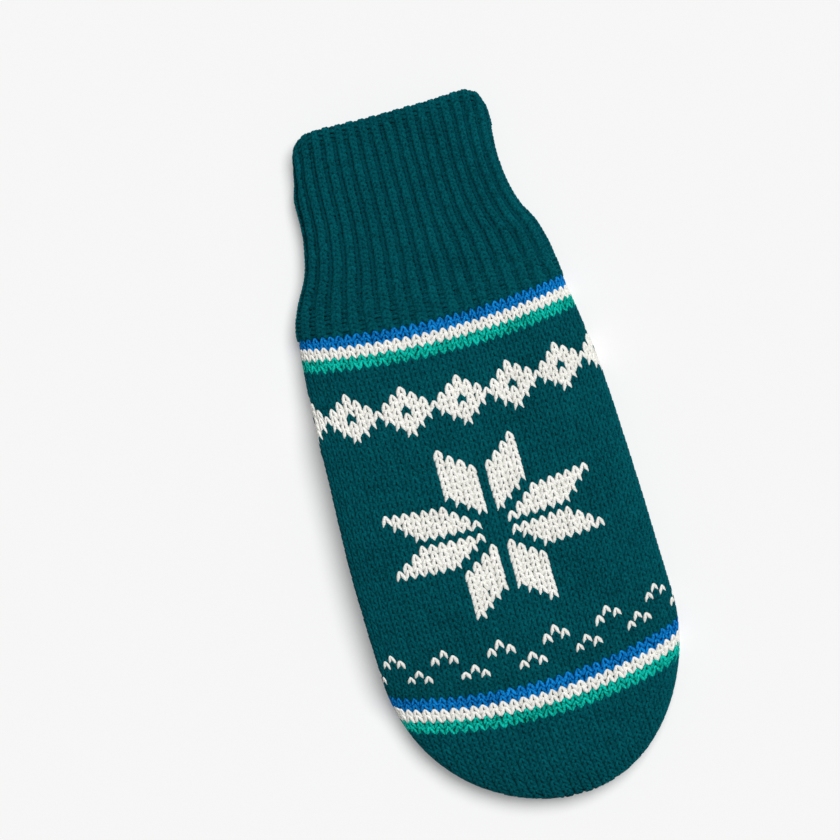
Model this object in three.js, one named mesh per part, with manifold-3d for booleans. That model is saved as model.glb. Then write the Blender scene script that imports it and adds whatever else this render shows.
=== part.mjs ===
// A left-hand knitted mitten, lying palm down with its thumb folded flat under the palm.
// Sizes are in millimetres. +Y runs from the fingertips to the cuff's rim, +X is to the right seen
// from above, and +Z is up. The origin is on the surface that it lies on, under the middle of its box.
// Three knitted pieces make it: a ribbed cuff, a hollow hand, and a hollow thumb that opens into the hand.

import * as THREE from "three";
import { mergeVertices } from "three/addons/utils/BufferGeometryUtils.js";
import Module from "manifold-3d";

// Hand
const handLength = 190.4; // from the cuff's seam to the fingertips
const handHalfWidth = 58.5;
const handThickness = 18; // where it lies on the surface, the thumb not under it
const knitWall = 2.4;
const tipLean = 4; // how far the fingertips lie off the middle line
const seamBow = 5.5; // how much further up the seam with the cuff lies at the sides

// Cuff
const cuffLength = 81; // from the seam to the rim
const cuffHalfWidth = 40.3;
const cuffThickness = 13.5;
const cuffWall = 2.6;
const ribCount = 36;
const ribDepth = 1.0;
const rimCorner = 6; // the rim's rounded corners

// Thumb
const thumbLength = 84;
const thumbWidth = 43;
const thumbThickness = 9.6;
const thumbDrop = 40; // from the seam to the slit that the thumb opens through
const thumbInset = 1.0; // its outer edge, inside the hand's edge

// Fits
const seamGap = 0.3; // between pieces that meet

// How the cloth lies over the thumb
const backRise = 4.2; // how much the back of the hand is raised by the thumb
const stepRun = 0.4; // length of the step in the palm at the thumb's slit
const palmSlope = 13; // width of the palm's slope beside the thumb
const tipSlope = 18; // length of the palm's slope past the thumb's tip

// Places worked out from those sizes
const seamY = (handLength - cuffLength) / 2;
const rimY = seamY + cuffLength;
const tipY = seamY - handLength;
const stepY = seamY - thumbDrop;
const mouthY = stepY - stepRun / 2 - seamGap;
const thumbTipY = mouthY - thumbLength;
const palmLift = thumbThickness + seamGap;

// Outline of the hand: at is the share of handLength from the seam, the rest are shares of
// handHalfWidth, and thick is a share of handThickness.
const handOutline = [
  { at: 0.0, left: 0.94, right: 0.86, thick: 0.93 },
  { at: 0.06, left: 0.955, right: 0.89, thick: 0.96 },
  { at: 0.15, left: 0.97, right: 0.93, thick: 1.0 },
  { at: 0.26, left: 0.98, right: 0.955, thick: 1.0 },
  { at: 0.44, left: 1.0, right: 0.98, thick: 1.0 },
  { at: 0.56, left: 0.995, right: 0.99, thick: 1.0 },
  { at: 0.66, left: 0.985, right: 1.0, thick: 0.97 },
];
const tipStart = 0.66; // share of handLength where the rounded fingertips begin

// Outline of the cuff: at is the share of cuffLength from the seam. The flares are shares of the way
// from the cuff's own half width out to the hand's at the seam.
const cuffOutline = [
  { at: 0.0, leftFlare: 1.0, rightFlare: 1.0 },
  { at: 0.08, leftFlare: 0.92, rightFlare: 0.92 },
  { at: 0.2, leftFlare: 0.69, rightFlare: 0.78 },
  { at: 0.32, leftFlare: 0.4, rightFlare: 0.53 },
  { at: 0.43, leftFlare: 0.24, rightFlare: 0.12 },
  { at: 0.56, leftFlare: 0.13, rightFlare: -0.14 },
  { at: 0.68, leftFlare: 0.12, rightFlare: -0.22 },
  { at: 0.8, leftFlare: 0.1, rightFlare: -0.19 },
  { at: 0.9, leftFlare: 0.0, rightFlare: -0.12 },
  { at: 1.0, leftFlare: -0.09, rightFlare: -0.13 },
];

// Shares and powers that give the cross sections their form
const edgeShare = 0.4; // height of the side edge, as a share of the thickness
const sideShare = 1.3; // thickness of the wall at the side edge, in walls
const topPower = 2.4; // roundness of the back
const bottomPower = 5; // the palm is flatter, with rounded sides
const thumbTopPower = 3.4;
const tipTopPower = 2.6; // how the back rounds off at the fingertips and at the thumb's tip
const tipBottomPower = 3.6;
const cornerPower = 14; // how sharply the rim turns at its corners
const leanPower = 4; // how late the fingertips start to lean
const flatten = 1.05; // pressed this much past the surface, so that it lies flat on it
const slopeShift = 0.45; // how far the inner side of a slope lies further out, in walls
const seamRise = 0.8; // share of backRise that is left at the seam
const bowFade = 45; // distance over which the seam's bow dies out
const thumbTipStart = 0.72; // share of thumbLength where its rounded tip begins
const ribFade = 10; // distance from the seam over which the ribs rise
const endOverrun = 2; // how far the uncut bodies run past the seam
const seamSpan = 1.1; // how far the seam's cut runs past the sides, in half widths

// The cuff's rim, in walls: back is the distance from the rim, inset how far in the outside lies
// there, and outset how far out the lining does.
const rimProfile = [
  { back: 1.0, inset: 0, outset: 0 },
  { back: 0.3, inset: 0.15, outset: 0.2 },
  { back: 0.0, inset: 0.38, outset: 0.38 },
];

// Mesh steps
const handPoints = 48;
const liningPoints = 32;
const thumbPoints = 26;
const pointsPerRib = 3;
const denseSteps = 240;
const seamPoints = 13;
const slitStations = 6; // from the seam to the slit
const overThumbStations = 8;
const slopeStations = 4;
const cuffStations = 9;
const thumbStations = 7;
const handTipDegrees = [30, 40, 50, 59, 67, 74, 80, 85]; // turns round the tip, from its widest place
const thumbTipDegrees = [18, 34, 48, 60, 70, 78, 85];

const clamp01 = (v) => Math.min(1, Math.max(0, v));
const smooth = (v) => clamp01(v) ** 2 * (3 - 2 * clamp01(v));
const mix = (a, b, share) => a + (b - a) * share;
const bulge = (v, power) => Math.max(0, 1 - Math.abs(v) ** power) ** (1 / power);

// count values from first to last, both included.
function spread(first, last, count) {
  return Array.from({ length: count }, (_, i) => mix(first, last, i / (count - 1)));
}

// The value of a column at a place in a table, on a smooth curve through its rows.
function read(table, at, column) {
  const last = table.length - 1;
  if (at <= table[0].at) return table[0][column];
  if (at >= table[last].at) return table[last][column];
  const i = table.findIndex((row) => row.at > at) - 1;
  const slope = (j) => {
    const low = table[Math.max(0, j - 1)];
    const high = table[Math.min(last, j + 1)];
    return (high[column] - low[column]) / (high.at - low.at);
  };
  const step = table[i + 1].at - table[i].at;
  const t = (at - table[i].at) / step;
  const start = table[i][column] * (1 + 2 * t) * (1 - t) ** 2 + slope(i) * step * t * (1 - t) ** 2;
  const end = table[i + 1][column] * (3 - 2 * t) * t ** 2 - slope(i + 1) * step * t ** 2 * (1 - t);
  return start + end;
}

// Half widths to the left and right of the middle line at a height along the mitten.
function halfWidths(y) {
  if (y <= seamY) {
    const at = (seamY - y) / handLength;
    return [handHalfWidth * read(handOutline, at, "left"), handHalfWidth * read(handOutline, at, "right")];
  }
  const at = (y - seamY) / cuffLength;
  return ["left", "right"].map((side) =>
    mix(cuffHalfWidth, handHalfWidth * handOutline[0][side], read(cuffOutline, at, side + "Flare")),
  );
}

function thicknessAt(y) {
  if (y <= seamY) return handThickness * read(handOutline, (seamY - y) / handLength, "thick");
  return mix(handThickness * handOutline[0].thick, cuffThickness, smooth((y - seamY) / cuffLength));
}

// How much of the lift is left past the thumb's tip, where the cloth slopes down, at a depth in the wall.
function beforeTipSlope(y, depth) {
  return 1 - smooth((thumbTipY - seamGap - slopeShift * depth - y) / tipSlope);
}

function thumbInnerX(y) {
  return -halfWidths(y)[0] + thumbInset + thumbWidth;
}

// How far the thumb raises the palm at a depth in the wall. The palm steps up at the thumb's slit,
// and slopes down beside the thumb, where the step runs out too. The inner side of the step lies
// one wall nearer the cuff.
function bottomLift(x, y, depth) {
  const beside = smooth((x - thumbInnerX(y) - seamGap - slopeShift * depth) / palmSlope);
  const run = mix(stepRun, palmSlope, beside);
  const pastSlit = clamp01((stepY + depth + stepRun / 2 - y) / run);
  return palmLift * pastSlit * beforeTipSlope(y, depth) * (1 - beside);
}

// The back is raised too, but more softly and further along.
function backLift(x, y) {
  const towardsRim = smooth((rimY - y) / cuffLength) * (y > seamY ? seamRise : 1);
  const nearSlit = y > seamY ? 1 : mix(seamRise, 1, smooth((seamY - y) / thumbDrop));
  const towardsTip = 1 - smooth((thumbTipY + tipSlope / 2 - y) / (2 * tipSlope));
  const across = 1 - smooth((x - thumbInnerX(y) + palmSlope) / (3 * palmSlope));
  return backRise * towardsRim * nearSlit * towardsTip * across;
}

// Height of the side edge, which rises smoothly from the seam to where the thumb carries the hand.
function edgeHeight(across, x, y) {
  const raised = palmLift * smooth((seamY - y) / thumbDrop) * beforeTipSlope(y, 0);
  const low = raised * smooth((1 - across) / 2);
  return mix(low, thicknessAt(y) + backLift(x, y), edgeShare);
}

// One closed cross section of the mitten at y, as points in order round it. depth is how far in from
// the outer surface it lies, and angles says where its points are: 0 is the right edge, a quarter
// turn is the middle of the back.
function section(y, depth, angles) {
  const sideDepth = depth * sideShare;
  const tipStartY = seamY - tipStart * handLength;
  const t = clamp01((tipStartY - y) / (tipStartY - tipY - sideDepth));
  const bow = seamBow * (1 - smooth(Math.abs(y - seamY) / bowFade));
  const [left, right] = halfWidths(y + bow).map((w) => (w - sideDepth) * Math.sqrt(1 - t * t));
  const topRound = bulge(t, tipTopPower);
  const bottomRound = bulge(t, tipBottomPower);
  return angles.map((angle) => {
    const across = Math.cos(angle);
    const x = across * (across < 0 ? left : right);
    const edge = edgeHeight(across, x, y);
    const top = thicknessAt(y) + backLift(x, y) - depth;
    const bottom = bottomLift(x, y, depth) + depth;
    const z =
      Math.sin(angle) >= 0
        ? edge + (top - edge) * topRound * bulge(across, topPower)
        : edge - (edge - bottom) * bottomRound * Math.min(1, flatten * bulge(across, bottomPower));
    return new THREE.Vector3(x + tipLean * t ** leanPower, y + bow * across ** 2, z);
  });
}

const evenAngles = (count) => spread(0, 2 * Math.PI, count + 1).slice(0, count);

// A closed solid through rings that hold equally many points, with a point for each end or a flat cap.
function loft(rings, firstEnd, lastEnd) {
  const count = rings[0].length;
  const points = rings.flat();
  const faces = [];
  for (let i = 0; i + 1 < rings.length; i++) {
    for (let j = 0; j < count; j++) {
      const a = i * count + j;
      const b = i * count + ((j + 1) % count);
      faces.push([a, b, a + count], [b, b + count, a + count]);
    }
  }
  const middle = (ring) => ring.reduce((sum, p) => sum.add(p), new THREE.Vector3()).divideScalar(count);
  const first = points.push(firstEnd ?? middle(rings[0])) - 1;
  const last = points.push(lastEnd ?? middle(rings[rings.length - 1])) - 1;
  for (let j = 0; j < count; j++) {
    const next = (j + 1) % count;
    faces.push([first, next, j]);
    faces.push([last, (rings.length - 1) * count + j, (rings.length - 1) * count + next]);
  }
  return { points, faces };
}

const wasm = await Module();
wasm.setup();

// A closed geometry that holds only positions, as a solid that can be joined and cut.
function manifoldOf(geometry) {
  const merged = mergeVertices(geometry, 1e-4);
  const vertProperties = merged.attributes.position.array;
  return new wasm.Manifold(
    new wasm.Mesh({ numProp: 3, vertProperties, triVerts: new Uint32Array(merged.index.array) }),
  );
}

// The loft as a solid. Seen from its first ring, its rings run clockwise, so its faces point out.
function solidOf({ points, faces }) {
  const geometry = new THREE.BufferGeometry();
  geometry.setAttribute("position", new THREE.Float32BufferAttribute(points.flatMap((p) => p.toArray()), 3));
  geometry.setIndex(faces.flat());
  return manifoldOf(geometry);
}

// Everything on one side of the seam: side is 1 for the cuff's and -1 for the hand's. The seam runs
// up to both sides as the cloth's rows do.
function besideSeam(side) {
  const [left, right] = halfWidths(seamY + seamBow);
  const curve = spread(-seamSpan, seamSpan, seamPoints).map((across) => {
    const x = across * (across < 0 ? left : right);
    return new THREE.Vector2(x, seamY + seamBow * across ** 2 + (side * seamGap) / 2);
  });
  const farY = side > 0 ? rimY + handThickness : tipY - handThickness;
  const farX = seamSpan * handHalfWidth;
  const outline = [...curve, new THREE.Vector2(farX, farY), new THREE.Vector2(-farX, farY)];
  const height = 3 * handThickness;
  const cut = { depth: height, bevelEnabled: false };
  const geometry = new THREE.ExtrudeGeometry(new THREE.Shape(outline), cut);
  geometry.translate(0, 0, -height / 3);
  geometry.deleteAttribute("normal");
  geometry.deleteAttribute("uv");
  return manifoldOf(geometry);
}

function geometryOf(solid) {
  const mesh = solid.getMesh();
  const geometry = new THREE.BufferGeometry();
  geometry.setAttribute("position", new THREE.BufferAttribute(new Float32Array(mesh.vertProperties), 3));
  geometry.setIndex(new THREE.BufferAttribute(new Uint32Array(mesh.triVerts), 1));
  geometry.computeVertexNormals();
  return geometry;
}

// Sorted from the cuff to the fingertips, without those that lie closer together than apart.
function stationsDown(values, apart) {
  const sorted = [...values].sort((a, b) => b - a);
  return sorted.filter((y, i) => i === 0 || sorted[i - 1] - y > apart);
}

// Stations along a tip that rounds off over span, given as turns from where the rounding starts.
function roundTip(startY, span, degrees) {
  return degrees.map((turn) => startY - span * Math.sin(THREE.MathUtils.degToRad(turn)));
}

// The hand's body at a depth inside its outer surface, from startY to the fingertips.
function handBody(startY, depth, count) {
  const tipStartY = seamY - tipStart * handLength;
  const tipSpan = tipStartY - tipY - depth * sideShare;
  const stepTop = stepY + depth + stepRun / 2;
  const stepBottom = stepTop - stepRun;
  const slopeY = thumbTipY - seamGap;
  const stations = stationsDown(
    [
      ...spread(startY, stepTop, slitStations),
      ...spread(stepBottom, slopeY, overThumbStations),
      ...spread(slopeY, slopeY - tipSlope, slopeStations),
      ...roundTip(tipStartY, tipSpan, handTipDegrees),
    ],
    stepRun / 2,
  );
  const rings = stations.map((y) => section(y, depth, evenAngles(count)));
  const end = new THREE.Vector3(tipLean, tipStartY - tipSpan, thicknessAt(tipY) * edgeShare);
  return solidOf(loft(rings, undefined, end));
}

// The thumb's body at a depth inside its outer surface, from startY to its tip.
function thumbBody(startY, depth, count) {
  const roundStartY = mouthY - thumbTipStart * thumbLength;
  const span = roundStartY - thumbTipY - depth * sideShare;
  const edge = thumbThickness / 2;
  const ring = (y) => {
    const t = clamp01((roundStartY - y) / span);
    const half = (thumbWidth / 2 - depth * sideShare) * Math.sqrt(1 - t * t);
    const middle = thumbInnerX(Math.min(y, mouthY)) - thumbWidth / 2;
    return evenAngles(count).map((angle) => {
      const across = Math.cos(angle);
      const top = bulge(t, tipTopPower) * bulge(across, thumbTopPower);
      const bottom = bulge(t, tipBottomPower) * Math.min(1, flatten * bulge(across, bottomPower));
      const share = Math.sin(angle) >= 0 ? top : -bottom;
      return new THREE.Vector3(middle + half * across, y, edge + (edge - depth) * share);
    });
  };
  const stations = stationsDown(
    [
      ...spread(startY, roundStartY, thumbStations),
      ...roundTip(roundStartY, span, thumbTipDegrees),
    ],
    stepRun / 2,
  );
  const tipX = thumbInnerX(thumbTipY) - thumbWidth / 2;
  const end = new THREE.Vector3(tipX, roundStartY - span, edge);
  return solidOf(loft(stations.map(ring), undefined, end));
}

// A section of the cuff with count points spread evenly along it, either side of the middle of the back.
function evenSection(y, depth, count) {
  const dense = section(y, depth, spread(Math.PI / 2, Math.PI / 2 - 2 * Math.PI, denseSteps + 1));
  const lengths = [0];
  for (let i = 1; i < dense.length; i++) lengths.push(lengths[i - 1] + dense[i].distanceTo(dense[i - 1]));
  const total = lengths[lengths.length - 1];
  return Array.from({ length: count }, (_, j) => {
    const target = (total * (j + 0.5)) / count;
    const i = Math.max(1, lengths.findIndex((length) => length > target));
    const share = (target - lengths[i - 1]) / (lengths[i] - lengths[i - 1]);
    return dense[i - 1].clone().lerp(dense[i], share);
  });
}

// Moves each point of a section that runs clockwise, seen from the fingertips, inwards by depthOf(its number).
function pressIn(ring, depthOf) {
  return ring.map((point, j) => {
    const along = ring[(j + 1) % ring.length].clone().sub(ring[(j + ring.length - 1) % ring.length]);
    const inwards = new THREE.Vector3(along.z, 0, -along.x).normalize();
    return point.clone().addScaledVector(inwards, depthOf(j));
  });
}

// The cuff's rim falls away at its two corners.
function dropCorners(ring, y) {
  const drop = rimCorner * smooth((y - rimY + 2 * rimCorner) / (2 * rimCorner));
  const [left, right] = halfWidths(rimY);
  return ring.map(({ x, y: level, z }) => {
    const across = Math.abs(x) / (x < 0 ? left : right);
    return new THREE.Vector3(x, level - drop * Math.min(1, across) ** cornerPower, z);
  });
}

const rimStations = rimProfile.map(({ back, inset, outset }) => ({ y: rimY - back * cuffWall, inset, outset }));

// The cuff's outer form: ribs that fade out at the seam, and a rounded rim.
function cuffOuter() {
  const straight = spread(seamY - endOverrun, rimY - rimCorner, cuffStations).map((y) => ({ y, inset: 0 }));
  const rings = [...straight, ...rimStations].map(({ y, inset }) => {
    const ribbed = ribDepth * smooth((y - seamY) / ribFade);
    const isValley = (j) => j % pointsPerRib === 1;
    const even = evenSection(y, 0, ribCount * pointsPerRib);
    return dropCorners(pressIn(even, (j) => (isValley(j) ? ribbed : 0) + inset * cuffWall), y);
  });
  return solidOf(loft(rings));
}

// The space inside the cuff. It opens out a little at the rim, and runs past both ends of the cuff.
function cuffInner() {
  const startY = seamY - seamBow - endOverrun;
  const straight = spread(startY, rimY - rimCorner, cuffStations).map((y) => ({ y, outset: 0 }));
  const past = { y: rimY + endOverrun, outset: rimProfile[rimProfile.length - 1].outset };
  const rings = [...straight, ...rimStations, past].reverse().map(({ y, outset }) => {
    const depth = mix(knitWall, cuffWall + ribDepth / 2, clamp01((y - startY) / seamBow));
    return dropCorners(section(y, depth - outset * cuffWall, evenAngles(liningPoints)), y);
  });
  return solidOf(loft(rings));
}

function makeHand() {
  const outer = handBody(seamY + endOverrun, 0, handPoints);
  const inner = handBody(seamY + 2 * endOverrun, knitWall, liningPoints);
  const slit = thumbBody(stepY + knitWall + stepRun, knitWall, thumbPoints);
  return outer.intersect(besideSeam(-1)).subtract(inner).subtract(slit);
}

function makeThumb() {
  return thumbBody(mouthY, 0, thumbPoints).subtract(thumbBody(mouthY + knitWall, knitWall, thumbPoints));
}

const teal = { color: new THREE.Color(0.006, 0.085, 0.098), roughness: 0.92, metalness: 0 };

function knitted(name, solid) {
  const mesh = new THREE.Mesh(geometryOf(solid), new THREE.MeshStandardMaterial(teal));
  mesh.name = name;
  return mesh;
}

const mitten = new THREE.Group();
mitten.add(knitted("cuff", cuffOuter().intersect(besideSeam(1)).subtract(cuffInner())));
mitten.add(knitted("hand", makeHand()));
mitten.add(knitted("thumb", makeThumb()));

export default mitten;
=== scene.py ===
"""The knitted mitten's looks: its yarn, stitch by stitch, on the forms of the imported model.

Lengths are in millimetres until a mesh is made. +Y runs from the fingertips to the cuff's rim, +Z
from the palm to the back of the hand. A stitch is two legs of yarn. Its tip points to the cuff.
"""

import math

import bpy
import numpy as np
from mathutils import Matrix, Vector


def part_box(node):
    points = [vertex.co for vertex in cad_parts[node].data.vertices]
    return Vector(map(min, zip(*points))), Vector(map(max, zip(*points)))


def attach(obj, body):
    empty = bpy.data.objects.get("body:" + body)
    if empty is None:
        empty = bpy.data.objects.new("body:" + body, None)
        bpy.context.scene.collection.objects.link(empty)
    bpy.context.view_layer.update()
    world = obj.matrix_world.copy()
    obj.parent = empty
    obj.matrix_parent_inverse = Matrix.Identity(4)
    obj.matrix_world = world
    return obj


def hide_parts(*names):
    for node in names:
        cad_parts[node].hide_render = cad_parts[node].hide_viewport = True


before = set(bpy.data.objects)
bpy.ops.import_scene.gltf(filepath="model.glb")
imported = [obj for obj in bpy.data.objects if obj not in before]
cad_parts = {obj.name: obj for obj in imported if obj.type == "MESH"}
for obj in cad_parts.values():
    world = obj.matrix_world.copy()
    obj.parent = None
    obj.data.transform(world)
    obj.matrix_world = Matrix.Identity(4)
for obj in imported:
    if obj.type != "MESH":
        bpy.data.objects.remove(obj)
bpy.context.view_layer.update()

MM = 0.001
NEAR_ZERO = 1e-9

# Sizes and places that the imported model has
hand_low, hand_high = (np.array(corner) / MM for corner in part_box("hand"))
cuff_low = np.array(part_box("cuff")[0]) / MM
thumb_low, thumb_high = (np.array(corner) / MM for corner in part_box("thumb"))

SEAM_GAP = 0.3
CUFF_LENGTH = 81.0
TIP_Y = hand_low[1]
SEAM_Y = cuff_low[1] - SEAM_GAP / 2
RIM_Y = SEAM_Y + CUFF_LENGTH
HAND_LENGTH = SEAM_Y - TIP_Y
HAND_HALF_WIDTH = (hand_high[0] - hand_low[0]) / 2
THUMB_THICKNESS = thumb_high[2]
THUMB_LENGTH = thumb_high[1] - thumb_low[1]
MOUTH_Y = thumb_high[1]
THUMB_TIP_Y = thumb_low[1]
PALM_LIFT = THUMB_THICKNESS + SEAM_GAP

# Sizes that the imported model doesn't give by itself
HAND_THICKNESS = 18.0
CUFF_HALF_WIDTH = 40.3
CUFF_THICKNESS = 13.5
THUMB_WIDTH = 43.0
THUMB_INSET = 1.0
KNIT_WALL = 2.4
BACK_RISE = 4.2
STEP_RUN = 0.4
STEP_Y = MOUTH_Y + SEAM_GAP + STEP_RUN / 2
PALM_SLOPE = 13.0
TIP_SLOPE = 18.0
TIP_LEAN = 4.0

# Outline of the hand: at is the share of HAND_LENGTH from the seam, the rest are shares of
# HAND_HALF_WIDTH, and thick is a share of HAND_THICKNESS.
HAND_OUTLINE = [
    {"at": 0.0, "left": 0.94, "right": 0.86, "thick": 0.93},
    {"at": 0.06, "left": 0.955, "right": 0.89, "thick": 0.96},
    {"at": 0.15, "left": 0.97, "right": 0.93, "thick": 1.0},
    {"at": 0.26, "left": 0.98, "right": 0.955, "thick": 1.0},
    {"at": 0.44, "left": 1.0, "right": 0.98, "thick": 1.0},
    {"at": 0.56, "left": 0.995, "right": 0.99, "thick": 1.0},
    {"at": 0.66, "left": 0.985, "right": 1.0, "thick": 0.97},
]
TIP_START = 0.66

# Outline of the cuff: flares are shares of the way from the cuff's half width to the hand's.
CUFF_OUTLINE = [
    {"at": 0.0, "left": 1.0, "right": 1.0},
    {"at": 0.08, "left": 0.92, "right": 0.92},
    {"at": 0.2, "left": 0.69, "right": 0.78},
    {"at": 0.32, "left": 0.4, "right": 0.53},
    {"at": 0.43, "left": 0.24, "right": 0.12},
    {"at": 0.56, "left": 0.13, "right": -0.14},
    {"at": 0.68, "left": 0.12, "right": -0.22},
    {"at": 0.8, "left": 0.1, "right": -0.19},
    {"at": 0.9, "left": 0.0, "right": -0.12},
    {"at": 1.0, "left": -0.09, "right": -0.13},
]

# Shares and powers of the cross sections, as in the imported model
EDGE_SHARE = 0.4
TOP_POWER = 2.4
BOTTOM_POWER = 5.0
THUMB_TOP_POWER = 3.4
TIP_TOP_POWER = 2.6
TIP_BOTTOM_POWER = 3.6
LEAN_POWER = 4
FLATTEN = 1.05
SIDE_SHARE = 1.3
SLOPE_SHIFT = 0.45
SEAM_RISE = 0.8
THUMB_TIP_START = 0.72

# How closely sections of the forms are taken along their length
STATION_STEP = 1.0
TIP_STATIONS = 40
TIP_STATION_FIRST = 0.02
TIP_STATION_REACH = 12.0
LENGTH_SAMPLES = 400
TIP_MARGIN = 0.05  # no stitch is placed nearer the hand's tip than this
THUMB_TIP_MARGIN = 0.15

# The knitting, round each piece
HAND_WALES = 72
RIBS = HAND_WALES // 2
THUMB_WALES = 28
QUARTER = HAND_WALES / 4
RIB_QUARTER = RIBS / 4
THUMB_QUARTER = THUMB_WALES / 4

# Where the hand's rows lie along its middle line: at is the share of HAND_LENGTH from the seam,
# bow how much further up a row lies at the sides, per square millimetre from the middle, and tilt
# how much further up it lies for each millimetre to the right.
HAND_ROWS = [
    {"row": 0.0, "at": 0.0, "bow": 0.00182, "tilt": -0.015},
    {"row": 6.0, "at": 0.0675, "bow": 0.00182, "tilt": -0.015},
    {"row": 13.0, "at": 0.1598, "bow": 0.00182, "tilt": -0.01},
    {"row": 24.0, "at": 0.3147, "bow": 0.0021, "tilt": 0.0},
    {"row": 32.0, "at": 0.4253, "bow": 0.0015, "tilt": 0.0},
    {"row": 42.0, "at": 0.5588, "bow": 0.0009, "tilt": 0.0},
    {"row": 52.0, "at": 0.6948, "bow": 0.0023, "tilt": 0.0},
    {"row": 57.0, "at": 0.7545, "bow": 0.0027, "tilt": 0.0},
    {"row": 63.0, "at": 0.8269, "bow": 0.0028, "tilt": 0.0},
]
LAST_SPACED_ROW = 63
TIP_ROW_PITCH = 2.3
CUFF_ROW_PITCH = 1.8
THUMB_ROW_PITCH = 2.45
FREEZE_Y = TIP_Y + 68.0  # nearer the tip than this the wales run on side by side
WALE_SPREAD = 0.05  # how much further apart they are there
SPREAD_RUN = 25.0
LEFT_CROWDING = 0.11  # how much closer the back's wales lie at its left edge than in its middle
RIGHT_CROWDING = 0.04
CROWDING_POWER = 4
BOW_FADE = 45.0
PRESSED_SHARE = 0.3
SIDE_PRESS = 0.5  # how much less the stitches stand out along the mitten's sides
SIDE_REACH = 0.1
HOME_SHARE = 0.3  # how far into its row the place lies that says which side a stitch is on
SIDE_OVERLAP = 0.04  # how far a stitch may reach past the mitten's side, in turns
THUMB_SIDE_OVERLAP = 0.03
CHART_OVERLAP = 0.06  # a stitch whose place lies further past the side than this is left out
CHART_MARGIN = 0.2  # and so is one nearer the tip than this

# The cuff's ribs and rim
RIB_HEIGHT = 1.25  # from the valleys between the ribs to their crests
RIB_CREST = 0.18  # half the width of a rib's flat crest, in ribs
SEAM_RIBS = 0.3  # share of the height at the seam
SEAM_RIBS_RUN = 22.0
LIP_RIBS = -0.1  # share of the height on the lip, where the valleys come up to the crests
LIP_RIBS_RUN = 9.5
LIP_RADIUS = 1.3
LIP_START = CUFF_LENGTH - LIP_RADIUS
LIP_END = LIP_START + math.pi * LIP_RADIUS
INSIDE_RUN = 14.0  # how far the rib stitches show inside the cuff
CUFF_ROW_COUNT = int((LIP_END + INSIDE_RUN) / CUFF_ROW_PITCH)
RIM_CORNERS = {"left": 12.0, "right": 9.0}  # their radii
RIM_CORNER_POWER = 2.2
RIM_CORNER_RUN = 3  # how far down the cuff a corner pulls the rows, in radii
RIM_RISE = 1.5  # how much further up the rim's ribs reach towards its corners
VALLEY_PAINTED_SHADE = -9.0  # painted shade: how much darker the wool is painted deep between the ribs, where shade falls

# The yarn of a stitch
HAND_PITCHES = (3.5, 2.5)  # the width and height of the stitch that a leg is shaped for
CUFF_PITCHES = (4.8, CUFF_ROW_PITCH)
START_CAP = 0.7  # how far a lobe's ends stand out, in radii
END_CAP = 0.9
UV_CAP = 0.05
CELL_MARGIN = 0.06  # the free edge of a cell of the bake grid, as a share of it

# How much the stitches differ
SWING = 0.025  # in wales and rows
LEAN = 0.025
WIDTH_SPREAD = 0.06
LENGTH_SPREAD = 0.04
LIFT = 0.07
HAND_SEED = 100
THUMB_SEED = 200
RIB_SEED = 300
VALLEY_SEED = 301

# The cloth behind the stitches
CLOTH_DEPTH = 0.5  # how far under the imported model's surface it lies
CLOTH_STEP = 2.2
CLOTH_COLUMNS = 96
TIP_DEGREES = (89, 85, 80, 74, 67, 59, 50, 40, 29, 17, 6)  # the angles of its rows on a round tip
SEAM_LAP = 4.0  # how far the hand's cloth reaches into the cuff

# The rows of each colour, counted from the cuff's seam
BLUE_ROWS = (0, 1, 57, 58)
WHITE_ROWS = (2, 3, 59, 60)
GREEN_ROWS = (4, 5, 61, 62)
MOTIF_REPEAT = 6
DIAMOND_ROW = 13
DIAMOND_SIZE = 3
FLAKE_ROW = 32
PETAL_COLUMNS = 4
PETAL_LENGTH = 7
UPPER_PEAK_ROW = 49
LOWER_PEAK_ROW = 52


def clamp01(value):
    return np.clip(value, 0.0, 1.0)


def smooth(value):
    value = clamp01(value)
    return value * value * (3 - 2 * value)


def mix(first, second, share):
    return first + (second - first) * share


def bulge(value, power):
    return np.maximum(0.0, 1 - np.abs(value) ** power) ** (1 / power)


def unit(vectors):
    """Vectors made one long, where they have a length at all."""
    return vectors / np.maximum(np.linalg.norm(vectors, axis=-1, keepdims=True), NEAR_ZERO)


def read(table, at, column, key="at"):
    """The value of a table's column at a place, on a smooth curve through its rows."""
    places = np.array([row[key] for row in table])
    values = np.array([row[column] for row in table])
    slopes = np.gradient(values, places)
    slopes[1:-1] = (values[2:] - values[:-2]) / (places[2:] - places[:-2])
    at = np.clip(at, places[0], places[-1])
    i = np.clip(np.searchsorted(places, at, side="right") - 1, 0, len(places) - 2)
    step = places[i + 1] - places[i]
    t = (at - places[i]) / step
    start = values[i] * (1 + 2 * t) * (1 - t) ** 2 + slopes[i] * step * t * (1 - t) ** 2
    return start + values[i + 1] * (3 - 2 * t) * t**2 - slopes[i + 1] * step * t**2 * (1 - t)


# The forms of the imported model


def half_width(y, side):
    hand = HAND_HALF_WIDTH * read(HAND_OUTLINE, (SEAM_Y - y) / HAND_LENGTH, side)
    flare = read(CUFF_OUTLINE, (y - SEAM_Y) / CUFF_LENGTH, side)
    cuff = mix(CUFF_HALF_WIDTH, HAND_HALF_WIDTH * HAND_OUTLINE[0][side], flare)
    return np.where(y <= SEAM_Y, hand, cuff)


def thickness_at(y):
    hand = HAND_THICKNESS * read(HAND_OUTLINE, (SEAM_Y - y) / HAND_LENGTH, "thick")
    seam = HAND_THICKNESS * HAND_OUTLINE[0]["thick"]
    return np.where(y <= SEAM_Y, hand, mix(seam, CUFF_THICKNESS, smooth((y - SEAM_Y) / CUFF_LENGTH)))


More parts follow.
